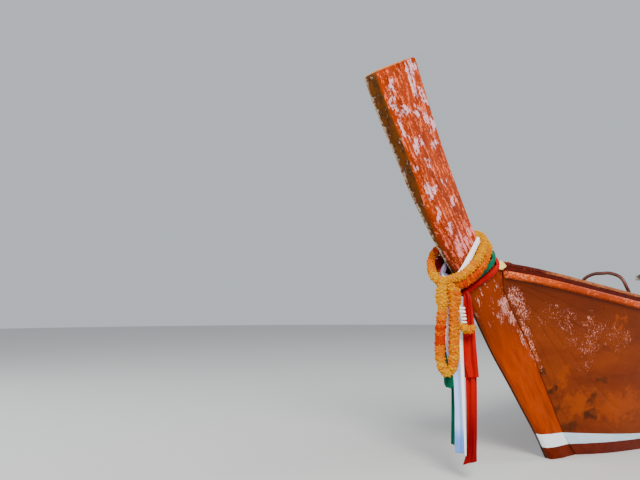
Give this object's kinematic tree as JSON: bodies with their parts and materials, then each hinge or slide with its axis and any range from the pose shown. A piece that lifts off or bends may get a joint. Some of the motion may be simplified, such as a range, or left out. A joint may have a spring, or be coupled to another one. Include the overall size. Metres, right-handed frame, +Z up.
{
  "type": "longtail boat",
  "caption": "Open wooden longtail boat afloat: tall raised prow post, thwarts, light canopy, swivelling inboard engine on a stern post and a long propeller shaft.",
  "frame": {"origin": "middle of the hull's length on the centreline, at the waterline, where the water holds the boat up", "axes": "+X forward to the prow, +Y to port, +Z up"},
  "size_m": [15.3604, 2.1222, 3.4327],
  "materials": {
    "antifouling": "matt red-brown paint, stained",
    "side_paint": "brown-orange varnish, worn and flaking",
    "dark_wood": "dark red-brown varnish, worn on top",
    "orange_paint": "orange gloss paint, worn",
    "stem_paint": "orange-brown varnish, flaking",
    "bare_wood": "bare weathered planks",
    "dark_steel": "dark paint",
    "grey_paint": "grey paint, chipped",
    "engine_metal": "oily grey castings",
    "rusty_steel": "rusted",
    "bare_steel": "worn bare steel",
    "propeller_brass": "polished by the water",
    "tube_metal": "brown paint on thin tube",
    "roof_cloth": "coated canopy cloth, faded",
    "red_cloth": "thin satin cloth",
    "green_cloth": "thin satin cloth",
    "white_cloth": "thin satin cloth",
    "flowers": "fresh petals"
  },
  "bodies": {
    "hull": {"keel": "antifouling", "stem_and_prow": "stem_paint", "bottom_planking_aft_port": "antifouling", "bottom_planking_aft_starboard": "antifouling", "bottom_planking_mid_port": "antifouling", "bottom_planking_mid_starboard": "antifouling", "bottom_planking_fore_port": "antifouling", "bottom_planking_fore_starboard": "antifouling", "bottom_planking_bow_port": "antifouling", "bottom_planking_bow_starboard": "antifouling", "bilge_planking_port": "side_paint", "bilge_planking_starboard": "side_paint", "side_planking_port": "side_paint", "side_planking_starboard": "side_paint", "gunwale_port": "dark_wood", "gunwale_starboard": "dark_wood", "rub_rail_port": "orange_paint", "rub_rail_starboard": "orange_paint", "transom": "side_paint", "floor_timbers": "bare_wood", "side_ribs_aft_port": "bare_wood", "side_ribs_aft_starboard": "bare_wood", "side_ribs_mid_port": "bare_wood", "side_ribs_mid_starboard": "bare_wood", "side_ribs_fore_port": "bare_wood", "side_ribs_fore_starboard": "bare_wood", "bow_deck": "bare_wood", "floor_boards": "bare_wood", "stern_deck": "bare_wood", "thwart_1": "bare_wood", "thwart_2": "bare_wood", "thwart_3": "bare_wood", "thwart_4": "bare_wood", "engine_beam": "dark_wood", "pivot_socket": "dark_steel", "canopy_frame_port": "tube_metal", "canopy_frame_starboard": "tube_metal", "canopy_bows": "tube_metal", "canopy_roof": "roof_cloth", "boarding_ladder": "tube_metal", "scarf_red": "red_cloth", "scarf_green": "green_cloth", "scarf_white": "white_cloth", "garland_ring": "flowers", "garland_drop": "flowers"},
    "yoke": {"swivel_yoke": "grey_paint"},
    "engine": {"engine_cradle": "grey_paint", "engine_block": "engine_metal", "cylinder_head": "engine_metal", "gearbox": "engine_metal", "belt_drive": "engine_metal", "alternator": "engine_metal", "exhaust": "rusty_steel", "air_cleaner": "engine_metal", "tiller_bar": "bare_steel", "tail_tube": "grey_paint", "tail_brace": "rusty_steel", "tail_skeg": "rusty_steel"},
    "propeller": {"propeller": "propeller_brass"}
  },
  "joints": [
    {"name": "steer", "type": "hinge", "parent": "hull", "child": "yoke", "pos_m": [-4.7, 0, 1.35], "axis": [0, 0, 1], "range_deg": [-55, 55]},
    {"name": "tail_tilt", "type": "hinge", "parent": "yoke", "child": "engine", "pos_m": [-4.7, 0, 1.35], "axis": [0, 1, 0], "range_deg": [-20, 14]},
    {"name": "propeller_spin", "type": "hinge", "parent": "engine", "child": "propeller", "pos_m": [-8.529, 0, 0.94755], "axis": [0.9945, 0, 0.1045], "continuous": true}
  ]
}
